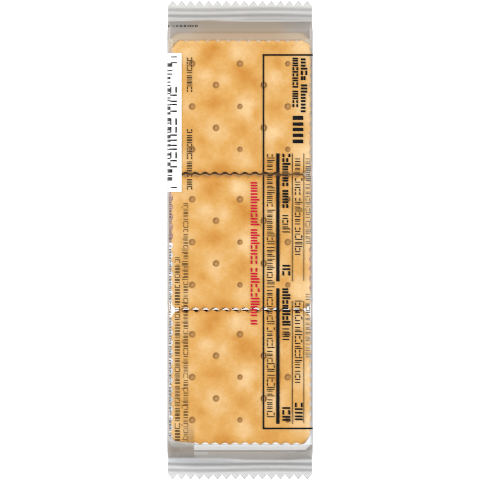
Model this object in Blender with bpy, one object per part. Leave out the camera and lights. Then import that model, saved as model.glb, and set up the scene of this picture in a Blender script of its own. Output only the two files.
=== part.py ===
"""A sealed flow-wrap pack of square sandwich crackers, as one closed solid, in metres.

The pack lies on its flat underside with its printed back face up. X is its width, +Y its length and Z up,
and the origin is under its middle. Three columns of crackers fill the body. Past the last cracker at each
end the film folds in at the sides, closes to mid-height and ends in a ridged crimp with a zigzag edge.
"""

import math
from collections import namedtuple

import bmesh
import bpy

# The body, as wide and as high as the film round the crackers
BODY_WIDTH = 0.0422
BODY_HEIGHT = 0.0190
BODY_CORNER_RADIUS = 0.0020

# Three columns of crackers along the pack, with a shallow dip of the film between them
CRACKER_PITCH = 0.0392
MIDDLE_CRACKER_Y = -0.0005
CRACKER_LENGTH = 0.0388
DIP_DEPTH = 0.0003
DIP_REACH = 0.0022
DIP_STEPS = 2

# The closures: a short shoulder past the last cracker, then the slope down to the crimp
SHOULDER_REACH = 0.0020
SHOULDER_DROP = 0.0008
SHOULDER_CORNER_RADIUS = 0.0034
SLOPE_STEPS = 6
SLOPE_FULLNESS = 1.35

# The crimps: grooves with ridges beside them across the pack, and sixteen teeth cut along the end
CRIMP_WIDTH = 0.0418
CRIMP_THICKNESS = 0.0005
CRIMP_CORNER_RADIUS = 0.0001
CRIMP_START_TOP = 0.0634
CRIMP_START_BOTTOM = -0.0637
GROOVE_COUNT = 2
GROOVE_PITCH = 0.0017
GROOVE_DEPTH = 0.00025
FIRST_GROOVE_TOP = 0.06515
FIRST_GROOVE_BOTTOM = -0.06510
TOOTH_COUNT = 16
TOOTH_DEPTH = 0.0015
PACK_LENGTH = 0.1390

# Points round one section
PANEL_POINTS = 2 * TOOTH_COUNT + 1
CORNER_STEPS = 3

MIDDLE_HEIGHT = BODY_HEIGHT / 2
TUCK_END_GAP = 0.0003
TIP_Y = PACK_LENGTH / 2
VALLEY_Y = TIP_Y - TOOTH_DEPTH

CRACKER_COLOUR = (0.80, 0.46, 0.16, 1.0)
CRACKER_ROUGHNESS = 0.35
SEAL_COLOUR = (0.78, 0.78, 0.76, 1.0)
SEAL_ROUGHNESS = 0.30
SHARP_ANGLE = math.radians(35)

# One section: where it is, its half sizes, its corner radius, how far its side walls tuck in,
# how far a ridge lifts it or a groove lowers it, and how far its teeth reach
Section = namedtuple("Section", "y half_width half_height corner tuck lift teeth")


def clear_scene():
    """Removes every object, so that the script starts from nothing."""
    for thing in list(bpy.data.objects):
        bpy.data.objects.remove(thing, do_unlink=True)


def make_material(name, colour, roughness):
    """A plain surface of one colour."""
    material = bpy.data.materials.new(name)
    material.use_nodes = True
    shader = material.node_tree.nodes["Principled BSDF"]
    shader.inputs["Base Color"].default_value = colour
    shader.inputs["Roughness"].default_value = roughness
    shader.inputs["Metallic"].default_value = 0.0
    material.diffuse_color = colour
    return material


def folded_tuck(half_height):
    """How far the middle of a side wall folds in where the pack is lower: the film keeps its length."""
    full = BODY_HEIGHT / 2
    return math.sqrt(max(full**2 - half_height**2, 0.0))


def body_sections():
    """The body from its lower end to its upper end, with a shallow dip between the columns of crackers."""
    lowest = MIDDLE_CRACKER_Y - CRACKER_PITCH - CRACKER_LENGTH / 2
    highest = MIDDLE_CRACKER_Y + CRACKER_PITCH + CRACKER_LENGTH / 2
    plain = Section(0.0, BODY_WIDTH / 2, BODY_HEIGHT / 2, BODY_CORNER_RADIUS, 0.0, 0.0, 0.0)
    sections = [plain._replace(y=lowest)]
    for side in (-0.5, 0.5):
        gap_y = MIDDLE_CRACKER_Y + side * CRACKER_PITCH
        for step in range(-DIP_STEPS, DIP_STEPS + 1):
            share = step / DIP_STEPS
            dip = DIP_DEPTH * (1 + math.cos(math.pi * share)) / 2
            sections.append(
                plain._replace(
                    y=gap_y + share * DIP_REACH,
                    half_width=plain.half_width - dip,
                    half_height=plain.half_height - dip,
                )
            )
    sections.append(plain._replace(y=highest))
    return sections


def closure_sections(end, crimp_start):
    """From the body's end to the crimp: the shoulder, the slope and the end of the tucked fold."""
    body_end = MIDDLE_CRACKER_Y + end * (CRACKER_PITCH + CRACKER_LENGTH / 2)
    crease_y = body_end + end * SHOULDER_REACH
    shoulder_half = BODY_HEIGHT / 2 - SHOULDER_DROP
    crimp_half = CRIMP_THICKNESS / 2
    sections = []
    for step in range(SLOPE_STEPS + 1):
        share = step / SLOPE_STEPS
        half_height = shoulder_half + (crimp_half - shoulder_half) * share**SLOPE_FULLNESS
        sections.append(
            Section(
                y=crease_y + (crimp_start - crease_y) * share,
                half_width=BODY_WIDTH / 2 + (CRIMP_WIDTH - BODY_WIDTH) / 2 * share,
                half_height=half_height,
                corner=SHOULDER_CORNER_RADIUS + (CRIMP_CORNER_RADIUS - SHOULDER_CORNER_RADIUS) * share,
                tuck=folded_tuck(half_height),
                lift=0.0,
                teeth=0.0,
            )
        )
    sections.append(sections[-1]._replace(y=crimp_start + end * TUCK_END_GAP, tuck=0.0))
    return sections


def crimp_sections(end, first_groove):
    """The crimp: a ridge before and between its grooves, in quarter waves, then the zigzag edge."""
    flat = Section(
        first_groove, CRIMP_WIDTH / 2, CRIMP_THICKNESS / 2, CRIMP_CORNER_RADIUS, tuck=0.0, lift=0.0, teeth=0.0
    )
    last_quarter = 4 * GROOVE_COUNT - 3
    sections = []
    for quarter in range(-2, last_quarter + 1):
        lift = -GROOVE_DEPTH * math.cos(math.pi / 2 * quarter)
        sections.append(flat._replace(y=first_groove + end * GROOVE_PITCH * quarter / 4, lift=lift))
    sections.append(flat._replace(y=end * VALLEY_Y, teeth=end * TOOTH_DEPTH))
    return sections


def upper_half(section):
    """Points (x, y, z) over the top of a section, from the middle of its left wall to the middle of its right."""
    reach = section.half_width - section.corner
    drop = section.half_height - section.corner
    points = [(-section.half_width + section.tuck, section.y, 0.0)]
    for step in range(CORNER_STEPS):
        turn = math.pi / 2 * step / CORNER_STEPS
        points.append(
            (-reach - section.corner * math.cos(turn), section.y, drop + section.corner * math.sin(turn))
        )
    for index in range(PANEL_POINTS):
        x = reach * (2 * index / (PANEL_POINTS - 1) - 1)
        tooth = section.teeth if index % 2 else 0.0
        points.append((x, section.y + tooth, section.half_height))
    for x, y, z in reversed(points[: CORNER_STEPS + 1]):
        points.append((-x, y, z))
    return points


def section_loop(section):
    """The closed loop of points round a section, over its top and back under it."""
    upper = upper_half(section)
    lower = [(x, y, -z) for x, y, z in reversed(upper[1:-1])]
    middle = MIDDLE_HEIGHT + section.lift
    return [(x, y, z + middle) for x, y, z in upper + lower]


def close_end(mesh, ring, material_index, turned):
    """Fills an end between the upper and lower points of its ring, which mirror each other."""
    count = len(ring)
    for index in range(count // 2):
        corners = [ring[index], ring[index + 1], ring[-index - 1], ring[-index]]
        unique = list(dict.fromkeys(corners))
        face = mesh.faces.new(reversed(unique) if turned else unique)
        face.material_index = material_index


def loft(sections, seal_reach):
    """A closed mesh through all sections. Faces beyond seal_reach from the middle take the second material."""
    mesh = bmesh.new()
    rings = [[mesh.verts.new(point) for point in section_loop(section)] for section in sections]
    for before, after, section, following in zip(rings, rings[1:], sections, sections[1:]):
        sealed = min(abs(section.y), abs(following.y)) >= seal_reach
        for index in range(len(before)):
            onward = (index + 1) % len(before)
            face = mesh.faces.new((before[index], before[onward], after[onward], after[index]))
            face.material_index = int(sealed)
    close_end(mesh, rings[0], 1, turned=False)
    close_end(mesh, rings[-1], 1, turned=True)
    bmesh.ops.recalc_face_normals(mesh, faces=mesh.faces)
    return mesh


def make_pack():
    """The sealed pack as one object."""
    lower_end = closure_sections(-1, CRIMP_START_BOTTOM) + crimp_sections(-1, FIRST_GROOVE_BOTTOM)
    upper_end = closure_sections(1, CRIMP_START_TOP) + crimp_sections(1, FIRST_GROOVE_TOP)
    sections = lower_end[::-1] + body_sections() + upper_end
    mesh = loft(sections, seal_reach=min(CRIMP_START_TOP, -CRIMP_START_BOTTOM))
    data = bpy.data.meshes.new("cracker_pack")
    mesh.to_mesh(data)
    mesh.free()
    data.materials.append(make_material("crackers_in_film", CRACKER_COLOUR, CRACKER_ROUGHNESS))
    data.materials.append(make_material("sealed_film", SEAL_COLOUR, SEAL_ROUGHNESS))
    data.shade_smooth()
    data.set_sharp_from_angle(angle=SHARP_ANGLE)
    pack = bpy.data.objects.new("cracker_pack", data)
    bpy.context.scene.collection.objects.link(pack)
    return pack


clear_scene()
make_pack()
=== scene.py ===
"""The looks of a sealed pack of sandwich crackers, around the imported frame.

Lengths are in millimetres, and make_object and at_place turn them into the frame's metres. +Y runs along
the pack, +Z up, and the far end is the one at +Y. Where the two ends or sides differ, a table has the far
end or the right side under 1, and the near end or the left side under -1.
"""

import math
from collections import namedtuple

import bpy
import numpy as np
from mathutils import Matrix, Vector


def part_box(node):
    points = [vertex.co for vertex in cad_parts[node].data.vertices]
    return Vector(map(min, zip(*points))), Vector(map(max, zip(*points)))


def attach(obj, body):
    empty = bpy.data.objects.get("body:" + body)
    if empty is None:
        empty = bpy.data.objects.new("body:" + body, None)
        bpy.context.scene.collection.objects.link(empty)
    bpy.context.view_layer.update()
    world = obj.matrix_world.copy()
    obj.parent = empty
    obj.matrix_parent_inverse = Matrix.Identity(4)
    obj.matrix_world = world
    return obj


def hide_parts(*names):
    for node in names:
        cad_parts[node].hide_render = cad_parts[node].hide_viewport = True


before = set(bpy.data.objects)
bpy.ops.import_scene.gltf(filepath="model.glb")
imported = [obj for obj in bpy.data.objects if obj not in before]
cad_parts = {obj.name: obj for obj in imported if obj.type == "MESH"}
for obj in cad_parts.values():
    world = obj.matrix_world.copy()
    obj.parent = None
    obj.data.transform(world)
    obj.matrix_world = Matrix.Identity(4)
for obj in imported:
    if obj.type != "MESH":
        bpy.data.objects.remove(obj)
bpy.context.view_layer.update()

MM = 0.001
node_low, node_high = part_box("cracker_pack")

# The pack's box, from the frame
TIP_Y = node_high.y / MM
HALF_WIDTH = (node_high.x - node_low.x) / 2 / MM
HALF_HEIGHT = (node_high.z - node_low.z) / 2 / MM
MIDDLE_Z = node_low.z / MM + HALF_HEIGHT

# The crackers: three stacks along the pack, each of two sandwiches
CRACKER_WIDTH = 40.7
CRACKER_LENGTH = 38.80
STACK_X = 0.33
STACK_Y = {1: 38.57, 2: -0.72, 3: -39.83}
CRACKER_THICKNESS = 3.78
FILLING_THICKNESS = 1.75
STACK_BOTTOM_GAP = 0.15
BETWEEN_SANDWICHES = 0.15

# The film's body and its closures, as in the CAD
COLUMN_LENGTH = 38.8
COLUMN_PITCH = 39.2
MIDDLE_COLUMN_Y = -0.5
BODY_CORNER = 2.0
DIP_DEPTH = 0.3
SIDE_DIP_DEPTH = 0.05
DIP_REACH = 2.2
SHOULDER_REACH = 2.0
SHOULDER_DROP = 0.8
SHOULDER_CORNER = 3.4
SHOULDER_FULLNESS = 1.5
SLOPE_FULLNESS = 1.35
CRIMP_HALF_WIDTH = 20.9
CRIMP_HALF_THICKNESS = 0.12
CRIMP_CORNER = 0.05
CRIMP_START = {1: 63.4, -1: 63.7}
RIDGE_DEPTH = 0.25
RIDGE_PITCH = 1.7
FIRST_GROOVE = {1: 65.08, -1: 65.1}
GROOVE_WAVE = 0.16
GROOVE_WAVE_X = -11.6
TOOTH_COUNT = 16
TOOTH_DEPTH = 1.5
TOOTH_ROWS = 6
VALLEY_Y = TIP_Y - TOOTH_DEPTH
TUCK_END_GAP = 0.3

# How far past the crimp's start its ridges are full, and how far before the teeth they start to flatten, by
# what share
RIDGE_START = 0.8
RIDGE_END = 0.4
RIDGE_LOSS = 0.8


def smoothstep(low, high, value):
    """0 below low, 1 above high, and smooth between them."""
    share = np.clip((value - low) / (high - low), 0.0, 1.0)
    return share * share * (3 - 2 * share)


def bell(value, middle, reach):
    """1 at the middle, falling smoothly away over the reach."""
    return np.exp(-(((value - middle) / reach) ** 2))


def toward_edge(half, reach, value):
    """0 further inside an edge than the first reach, 1 nearer to it than the second."""
    return smoothstep(half - reach[0], half - reach[1], value)


def value_noise(x, y, cell, seed):
    """Smooth noise from -1 to 1 over x and y, with a random value every cell."""
    size = 64
    table = np.random.RandomState(seed).uniform(-1, 1, (size, size))
    u = x / cell
    v = y / cell
    column = np.floor(u).astype(int)
    row = np.floor(v).astype(int)
    share_u = smoothstep(0, 1, u - column)
    share_v = smoothstep(0, 1, v - row)
    near = table[row % size, column % size] * (1 - share_u)
    near += table[row % size, (column + 1) % size] * share_u
    far = table[(row + 1) % size, column % size] * (1 - share_u)
    far += table[(row + 1) % size, (column + 1) % size] * share_u
    return near * (1 - share_v) + far * share_v


# One layer of noise: its strength, its cell, how far its place is shifted, and its seed's step
Noise = namedtuple("Noise", "strength cell shift step")


def unevenness(x, y, layers, seed):
    """The sum of some layers of noise."""
    total = np.zeros_like(x)
    for strength, cell, shift, step in layers:
        total += strength * value_noise(x + shift, y + shift, cell, seed + step)
    return total


def screen_colour(red, green, blue):
    """A screen colour, 0 to 255 each, as the linear colour that a shader takes."""
    shares = np.array([red, green, blue]) / 255
    return np.where(shares <= 0.04045, shares / 12.92, ((shares + 0.055) / 1.055) ** 2.4).tolist()


def linear(red, green, blue):
    """A screen colour as a socket's value, opaque."""
    return (*screen_colour(red, green, blue), 1.0)


def make_object(name, points, faces, material):
    """A mesh object from points and faces, shaded smooth."""
    mesh = bpy.data.meshes.new(name)
    mesh.from_pydata((np.asarray(points) * MM).tolist(), [], faces)
    mesh.validate()
    mesh.update()
    mesh.shade_smooth()
    mesh.materials.append(material)
    thing = bpy.data.objects.new(name, mesh)
    bpy.context.scene.collection.objects.link(thing)
    return thing


def at_place(thing, x, y, z):
    """Moves an object to a place."""
    thing.location = (x * MM, y * MM, z * MM)


def paint(thing, name, values):
    """Stores one number a point on the mesh, for its material to read."""
    attribute = thing.data.attributes.new(name, "FLOAT", "POINT")
    attribute.data.foreach_set("value", np.asarray(values, np.float32))


def paint_colour(thing, name, values):
    """Stores a colour and an alpha a point on the mesh, for its material to read."""
    attribute = thing.data.attributes.new(name, "FLOAT_COLOR", "POINT")
    attribute.data.foreach_set("color", np.asarray(values, np.float32).ravel())


# The film's shape


def body_end(end):
    """Where the film's body ends, with its last column of crackers."""
    return MIDDLE_COLUMN_Y + end * (COLUMN_PITCH + COLUMN_LENGTH / 2)


TINY = 1e-6
BODY_END = min(body_end(1), -body_end(-1))


def film_sizes(y):
    """Half width, half height, corner radius and tuck of the film's section at each y."""
    half_width = np.full_like(y, HALF_WIDTH)
    half_height = np.full_like(y, HALF_HEIGHT)
    corner = np.full_like(y, BODY_CORNER)
    tuck = np.zeros_like(y)
    for side in (-0.5, 0.5):
        offset = np.clip((y - MIDDLE_COLUMN_Y - side * COLUMN_PITCH) / DIP_REACH, -1, 1)
        dip = (1 + np.cos(math.pi * offset)) / 2
        half_width -= SIDE_DIP_DEPTH * dip
        half_height -= DIP_DEPTH * dip
    for end in (-1, 1):
        start = body_end(end) * end
        crease = start + SHOULDER_REACH
        crimp = CRIMP_START[end]
        along = y * end
        shoulder = np.clip((along - start) / SHOULDER_REACH, 0, 1)
        slope = np.clip((along - crease) / (crimp - crease), 0, 1)
        height = HALF_HEIGHT - SHOULDER_DROP * shoulder**SHOULDER_FULLNESS
        height += (CRIMP_HALF_THICKNESS - HALF_HEIGHT + SHOULDER_DROP) * slope**SLOPE_FULLNESS
        past = along > start
        half_height = np.where(past, height, half_height)
        half_width = np.where(past, HALF_WIDTH + (CRIMP_HALF_WIDTH - HALF_WIDTH) * slope, half_width)
        radius = BODY_CORNER + (SHOULDER_CORNER - BODY_CORNER) * shoulder
        corner = np.where(past, radius + (CRIMP_CORNER - SHOULDER_CORNER) * slope, corner)
        folded = np.sqrt(np.maximum(HALF_HEIGHT**2 - height**2, 0))
        tuck = np.where(past, folded * (along < crimp + TUCK_END_GAP / 2), tuck)
    return half_width, half_height, corner, tuck


def groove_phase(x, y):
    """How many ridges past its end's first groove a point of a crimp is."""
    wave = GROOVE_WAVE * np.cos(2 * math.pi * (x - GROOVE_WAVE_X) / (2 * CRIMP_HALF_WIDTH))
    first = np.where(y > 0, FIRST_GROOVE[1], FIRST_GROOVE[-1])
    return (np.abs(y + wave) - first) / RIDGE_PITCH


def ridge_lift(x, y):
    """How far a crimp's ridges lift the film: lowest in the grooves."""
    start = np.where(y > 0, CRIMP_START[1], CRIMP_START[-1])
    fade = smoothstep(start, start + RIDGE_START, np.abs(y))
    fade *= 1 - RIDGE_LOSS * smoothstep(VALLEY_Y - RIDGE_END, VALLEY_Y, np.abs(y))
    return -RIDGE_DEPTH * np.cos(2 * math.pi * groove_phase(x, y)) * fade


# The film's mesh: steps over its top, round a corner and down half a wall, and the sections along the body,
# across a dip, and before, beside, over, down and along each end
PANEL_STEPS = TOOTH_COUNT * 8
CORNER_STEPS = 10
WALL_STEPS = 8
BODY_STATIONS = 30
DIP_STATIONS = 13
END_STATIONS = (6, 9, 15, 26, 44)
END_REACH = (3, 1)
FIELD_END_GAP = 0.05


def film_section(y):
    """Points round the film at each y, as an array of len(y) x points x 3."""
    half_width, half_height, corner, tuck = (values[:, None] for values in film_sizes(y))
    reach = half_width - corner
    drop = half_height - corner
    panel = np.linspace(-1, 1, PANEL_STEPS + 1)[None]
    turn = (np.arange(1, CORNER_STEPS + 1) / CORNER_STEPS * math.pi / 2)[None]
    wall = np.linspace(1, 0, WALL_STEPS + 1)[None, 1:]
    top_x = reach * panel
    top_z = half_height + 0 * panel
    side_x = np.concatenate([reach + corner * np.sin(turn), half_width - tuck * (1 - wall)], 1)
    side_z = np.concatenate([drop + corner * np.cos(turn), drop * wall], 1)
    right_x = np.concatenate([side_x, side_x[:, -2::-1]], 1)
    right_z = np.concatenate([side_z, -side_z[:, -2::-1]], 1)
    x = np.concatenate([top_x, right_x, -top_x, -right_x], 1)
    z = np.concatenate([top_z, right_z, -top_z, -right_z], 1)
    y = np.broadcast_to(y[:, None], x.shape)
    return np.stack([x, y, z + MIDDLE_Z + ridge_lift(x, y)], -1)


def tooth_reach():
    """How far each point round the section reaches into its tooth, from 0 in a valley to 1 at a tip."""
    across = np.linspace(0, TOOTH_COUNT, PANEL_STEPS + 1)
    teeth = 1 - np.abs((across % 1) * 2 - 1)
    side = np.zeros(2 * (CORNER_STEPS + WALL_STEPS) - 1)
    return np.concatenate([teeth, side, teeth, side])


def film_stations():
    """The y of each section: close together where the film turns."""
    far, near = END_REACH
    stations = [np.linspace(body_end(-1) + far, body_end(1) - far, BODY_STATIONS)[1:-1]]
    for end in (-1, 1):
        start = body_end(end) * end
        crimp = CRIMP_START[end]
        lows = (start - far, start - near, start, start + SHOULDER_REACH, crimp + TUCK_END_GAP)
        highs = (start - near, start, start + SHOULDER_REACH, crimp, VALLEY_Y)
        for low, high, count in zip(lows, highs, END_STATIONS):
            stations.append(np.linspace(low, high, count) * end)
    for side in (-0.5, 0.5):
        gap = MIDDLE_COLUMN_Y + side * COLUMN_PITCH
        stations.append(np.linspace(gap - DIP_REACH, gap + DIP_REACH, DIP_STATIONS))
    for field_end in BAR_FIELD[2:]:
        stations.append(np.array([field_end - FIELD_END_GAP, field_end + FIELD_END_GAP]))
    return np.unique(np.concatenate(stations))


def close_film_end(ring, turned):
    """Faces between the upper and lower points of an end ring, which mirror each other."""
    count = len(ring)
    middle = PANEL_STEPS + CORNER_STEPS + WALL_STEPS
    faces = []
    for step in range(count // 2):
        upper = ring[(middle - step) % count], ring[(middle - step - 1) % count]
        lower = ring[(middle + step + 1) % count], ring[(middle + step) % count]
        corners = list(dict.fromkeys(int(corner) for corner in upper + lower))
        faces.append(corners if turned else corners[::-1])
    return faces


def make_film(material):
    """The film as one closed skin round the contents, with its crimps and teeth."""
    rings = film_section(film_stations())
    reach = tooth_reach()
    for end, edge in ((-1, 0), (1, -1)):
        rows = []
        for step in range(1, TOOTH_ROWS + 1):
            row = rings[edge].copy()
            row[:, 1] += end * TOOTH_DEPTH * reach * step / TOOTH_ROWS
            rows.append(row)
        rows = np.stack(rows[::end])
        rings = np.concatenate([rings, rows] if end == 1 else [rows, rings])
    index = np.arange(rings.shape[0] * rings.shape[1]).reshape(rings.shape[:2])
    onward = np.roll(index, -1, axis=1)
    faces = np.stack([index[1:], onward[1:], onward[:-1], index[:-1]], -1).reshape(-1, 4).tolist()
    faces += close_film_end(index[0], True) + close_film_end(index[-1], False)
    points = rings.reshape(-1, 3)
    film = make_object("film", points, faces, material)
    paint_colour(film, "veil", film_veil(points))
    return film


# The film's haze, painted shade and painted highlights: its crimps, teeth and lap are frosted, while its
# closures, grooves, gaps and long edges carry painted shade and painted highlights, and at the near end the
# white print below is painted onto the film as it looks lit. Each is a colour with the share that it hides


def haze_and_shade(red, green, blue, share):
    """A screen colour as a haze, a painted shade or a painted highlight that hides this share of what is
    under it.
    """
    return np.array([*screen_colour(red, green, blue), share])


# The shelves past the last crackers: at the far end painted shade for the shaded inside of the pack seen
# through the film, lighter at the rim so that the crackers' edge stays bright; at the near end the white
# print below, painted onto the film as it looks lit
SHELF_SHADE_AND_WHITE = {1: haze_and_shade(188, 160, 127, 0.66), -1: haze_and_shade(244, 246, 247, 0.62)}
SHELF_SIDE_SHADE_AND_WHITE = {1: haze_and_shade(193, 173, 146, 0.66), -1: haze_and_shade(244, 246, 247, 0.62)}
RIM_SHADE_AND_WHITE = {1: haze_and_shade(201, 177, 149, 0.88), -1: haze_and_shade(219, 220, 219, 0.92)}
LAP_HAZE = haze_and_shade(166, 163, 156, 0.74)
LAP_RIM_HAZE = haze_and_shade(188, 185, 179, 0.78)
# Painted shade along the closures' folds, on the slopes down to the crimps and under the lap's slope, for the
# shaded inside of the pack seen through the film
FOLD_SHADE = {1: haze_and_shade(150, 126, 100, 0.70), -1: haze_and_shade(140, 135, 131, 0.80)}
UPPER_SLOPE_SHADE = {1: haze_and_shade(162, 142, 115, 0.78), -1: haze_and_shade(172, 163, 153, 0.78)}
LOWER_SLOPE_SHADE = {1: haze_and_shade(178, 161, 140, 0.78), -1: haze_and_shade(190, 184, 177, 0.78)}
SLOPE_SIDE_SHADE = {1: haze_and_shade(168, 161, 153, 0.78), -1: haze_and_shade(172, 168, 163, 0.78)}
LAP_SLOPE_SHADE = haze_and_shade(154, 145, 135, 0.80)
PATCH_HAZE = haze_and_shade(198, 194, 189, 0.80)
# Painted shade in the corners beside the shelves
CORNER_SHADE = {1: haze_and_shade(170, 162, 156, 0.66), -1: haze_and_shade(162, 158, 152, 0.72)}
EDGE_GLINT_HAZE = haze_and_shade(226, 222, 218, 0.70)
CRIMP_HAZE = {1: haze_and_shade(212, 211, 209, 0.66), -1: haze_and_shade(222, 223, 224, 0.66)}
# A painted highlight along the start of the near crimp, where the steep film would lie in shade
LIP_HIGHLIGHT = haze_and_shade(246, 246, 246, 0.85)
# Painted shade over one side of each crimp: the right of the far one and the left of the near one
CRIMP_SIDE_SHADE = {1: haze_and_shade(196, 194, 192, 0.68), -1: haze_and_shade(203, 205, 208, 0.68)}
# Painted shade in the crimps' grooves, over the ridges that the film's shape has
INNER_GROOVE_SHADE = haze_and_shade(160, 160, 159, 0.70)
OUTER_GROOVE_SHADE = haze_and_shade(174, 174, 173, 0.68)
TOOTH_HAZE = haze_and_shade(224, 224, 223, 0.66)
TOOTH_RIM_HAZE = haze_and_shade(192, 192, 192, 0.70)
SHELF_HALF_WIDTH = {1: (20.05, 18.55), -1: (20.6, 18.9)}
FOLD = {1: 59.93, -1: 60.82}
FOLD_STRENGTH = {1: 0.2, -1: 0.8}
LAP_FOLD = 60.0
LAP_X = -13.3
LAP_RISE = 0.45
LAP_TILT = 0.10
SLOPE_PATCH = (-13.3, -9.3, 61.35, 62.35)
LAST_EDGE = {1: STACK_Y[1] + CRACKER_LENGTH / 2, -1: CRACKER_LENGTH / 2 - STACK_Y[3]}
GROOVE_REACH = 0.28
TOOTH_RIB = 0.5
TOOTH_RIB_SHARE = 0.45
PATCH_SHARE = 0.7
LIP_SHARE = 0.8
GLINT_SHARES = (0.9, 0.4)

# Where each part of the haze and of the painted shade and highlights starts to show and where it shows fully:
# from the edge that it starts at, or across the pack from the middle line
LAP_START = (-0.1, 0.1)
SHELF_START = (-0.03, 0.13)
SHELF_START_UNDER = -2.0
SHELF_SIDES = (8, 17)
RIM_FADE = {1: (0.1, 0.38), -1: (0.1, 1.1)}
RIM_SIDE_FADE = {1: (17.5, 18.3), -1: (21.6, 22.4)}
BESIDE_START = (-0.25, 0.25)
SLOPE_START = (-0.08, 0.08)
SLOPE_SIDES = (9, 18.5)
LAP_SLOPE_START = (-0.15, 0.15)
GLINT_FADE = (60.5, 62.5)
FROSTING_START = (-0.15, 0.15)
COOL_ACROSS = (-2, 4)
COOL_START = (0.2, 0.5)
COOL_FADE = (0, 0.2)
TOOTH_START = (-0.1, 0.15)
TOOTH_RIM_FADE = (0.05, 0.35)

# Painted lines, the fold's shade and the glint's and lip's highlights: where the middle of each lies, and its
# reach
FOLD_LINE = (0.32, 0.2)
GLINT_LINE = (20.5, 0.22)
LIP_LINE = (0.45, 0.35)

# Where the frosting starts: at the far end with a hump, at the near end with a rise and a fall across it
FAR_FROSTING = (63.38, 0.42, (-10, 7))
NEAR_FROSTING = (63.2, 0.6, (-6, 4), 0.25, (13, 20))

# The painted shade and highlight along the film's long edges, where the film turns edge-on, left (-1) and
# right (1), from the flat outwards: how far out, and the painted colour there
SIDE_SHADE_AND_HIGHLIGHT = {
    -1: (
        (19.7, haze_and_shade(255, 250, 240, 0.0)),
        (20.2, haze_and_shade(225, 215, 205, 0.10)),
        (20.6, haze_and_shade(195, 188, 184, 0.35)),
        (20.8, haze_and_shade(172, 170, 169, 0.70)),
        (21.0, haze_and_shade(178, 178, 178, 0.76)),
    ),
    1: (
        (20.0, haze_and_shade(255, 250, 235, 0.0)),
        (20.5, haze_and_shade(215, 205, 195, 0.12)),
        (20.7, haze_and_shade(172, 164, 158, 0.58)),
        (20.9, haze_and_shade(184, 181, 179, 0.66)),
        (21.0, haze_and_shade(179, 182, 186, 0.82)),
    ),
}
WALL_CLEARNESS = 0.5
FIELD_CLEARNESS = 0.3

# The corners past the first and the last cracker: the line that the cracker's corner follows, from its
# start to its end as x and y, and the colour that fills the place beyond it: painted shade at the far end and
# at the near left, and at the near right the white print below painted on as it looks lit
CUT_START = (0.05, 0.35)
CUT_SIDE_FADE = (20.6, 20.9)
CUT_RISE = (-0.8, 0.0)
CORNER_CUTS = (
    ((-17.8, 57.9), (-20.0, 55.1), -1, haze_and_shade(193, 176, 150, 0.62)),
    ((18.74, 57.24), (20.19, 56.24), 1, haze_and_shade(200, 186, 168, 0.62)),
    ((18.53, -58.89), (20.23, -56.29), 1, haze_and_shade(236, 238, 241, 0.92)),
    ((17.9, -59.0), (18.9, -58.6), 1, haze_and_shade(236, 238, 241, 0.92)),
    ((-17.9, -58.7), (-19.6, -57.2), -1, haze_and_shade(192, 189, 187, 0.80)),
)

# The notch at the right end of the gap between the first two stacks, which opens from its tip outwards: the
# tip's x, the gap's y, how far it opens for each millimetre out, and its painted shade, a tan for the shaded
# view down the notch
NOTCH_TIP_X = 18.35
FIRST_GAP_Y = 19.05
NOTCH_SLOPE = 1.15
NOTCH_START = (-0.45, 0.4)
NOTCH_FADE = (20.6, 20.85)
NOTCH_SHADE = haze_and_shade(205, 183, 156, 0.86)

# The faint painted shade over the whole of that gap, a tan painted shade over its part under the panel (x low
# and high, its middle and reach in y), and the soft painted shade at the lap's corner (its middle and its
# reach)
GAP_SHADE = haze_and_shade(150, 112, 78, 0.26)
GAP_SHADE_REACH = 0.55
GAP_SHADE_END_X = 20.3
PANEL_GAP_SHADE = haze_and_shade(196, 148, 88, 0.32)
PANEL_GAP = (11.9, 18.3, 19.5, 0.3)
LAP_SHADE = ((-14.1, -57.3), (1.2, 2.6), haze_and_shade(150, 118, 84, 0.34))


def covered(below, above, share):
    """A haze with share of another one over it, so that a clear haze's own colour doesn't show."""
    alpha = below[:, 3] * (1 - share) + above[3] * share
    hidden = below[:, :3] * (below[:, 3] * (1 - share))[:, None] + above[:3] * (above[3] * share)[:, None]
    return np.concatenate([hidden / np.maximum(alpha, TINY)[:, None], alpha[:, None]], 1)


def corner_veil(veil, x, y):
    """The haze with painted shade filled in beyond the crackers' corners, over the first gap and its notch
    and at the lap's corner, and the white print below painted on as it looks lit beyond the near right
    corner.
    """
    for (from_x, from_y), (to_x, to_y), side, colour in CORNER_CUTS:
        length = math.hypot(to_x - from_x, to_y - from_y)
        end = math.copysign(1, from_y)
        out_x = abs(to_y - from_y) / length * side
        out_y = abs(to_x - from_x) / length * end
        share = smoothstep(*CUT_START, (x - from_x) * out_x + (y - from_y) * out_y) * (x * side > 0)
        share *= (1 - smoothstep(*CUT_SIDE_FADE, np.abs(x))) * smoothstep(*CUT_RISE, y * end - abs(to_y))
        veil = covered(veil, colour, share)
    over_crackers = (x > BAR_FIELD[1]) & (x < GAP_SHADE_END_X)
    veil = covered(veil, GAP_SHADE, bell(y, FIRST_GAP_Y, GAP_SHADE_REACH) * over_crackers)
    x_low, x_high, middle_y, reach_y = PANEL_GAP
    veil = covered(veil, PANEL_GAP_SHADE, bell(y, middle_y, reach_y) * (x > x_low) * (x < x_high))
    opening = (x - NOTCH_TIP_X) * NOTCH_SLOPE - np.abs(y - FIRST_GAP_Y)
    veil = covered(veil, NOTCH_SHADE, smoothstep(*NOTCH_START, opening) * (1 - smoothstep(*NOTCH_FADE, x)))
    (middle_x, middle_y), (reach_x, reach_y), colour = LAP_SHADE
    shade = bell(np.hypot((x - middle_x) / reach_x, (y - middle_y) / reach_y), 0, 1) * (x < LAP_X)
    return covered(veil, colour, shade)


def blend(below, above, share):
    """From one haze to another by share, each a colour with an alpha."""
    return below + (above - below) * share[:, None]


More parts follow.
